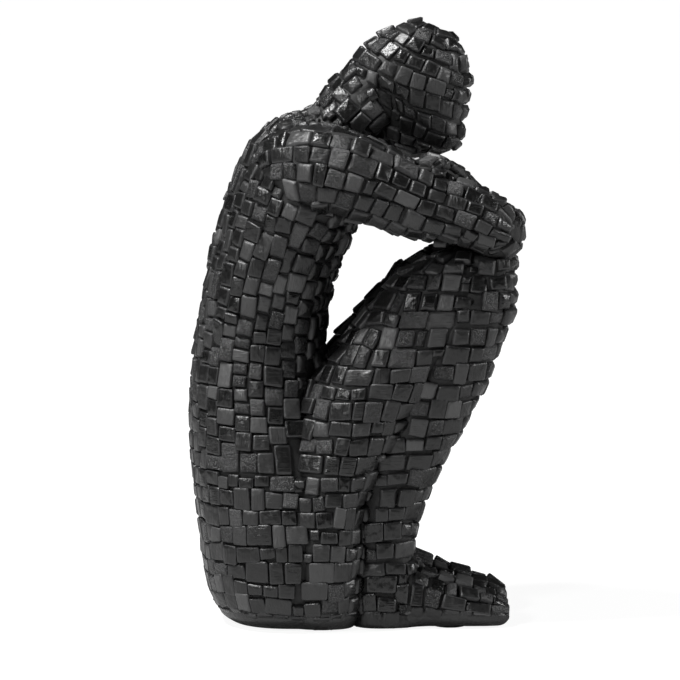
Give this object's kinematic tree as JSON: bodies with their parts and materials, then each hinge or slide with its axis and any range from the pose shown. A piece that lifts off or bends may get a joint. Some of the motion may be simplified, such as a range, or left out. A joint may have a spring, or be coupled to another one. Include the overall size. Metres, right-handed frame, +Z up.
{
  "type": "seated figure sculpture",
  "caption": "Abstract seated human figure, folded over its drawn-up knees with crossed arms, in black cast resin covered all over with small square mosaic blocks; a free-standing ornament.",
  "frame": {"origin": "on the table, under the middle of the figure's outer box", "axes": "+X the way the figure faces, +Y towards its left hand side, +Z up"},
  "size_m": [0.139, 0.1036, 0.2497],
  "materials": {
    "resin": "satin black cast resin, mosaic relief",
    "dowel": "plain round pin",
    "felt": "self-adhesive black felt"
  },
  "bodies": {
    "root": {"torso_casting": "resin", "head_casting": "resin", "right_arm_casting": "resin", "left_arm_casting": "resin", "right_leg_casting": "resin", "left_leg_casting": "resin", "neck_dowel": "dowel", "right_shoulder_dowel": "dowel", "left_shoulder_dowel": "dowel", "right_hip_dowel": "dowel", "left_hip_dowel": "dowel", "right_seat_pad": "felt", "left_seat_pad": "felt", "right_foot_pad": "felt", "left_foot_pad": "felt"}
  },
  "joints": []
}
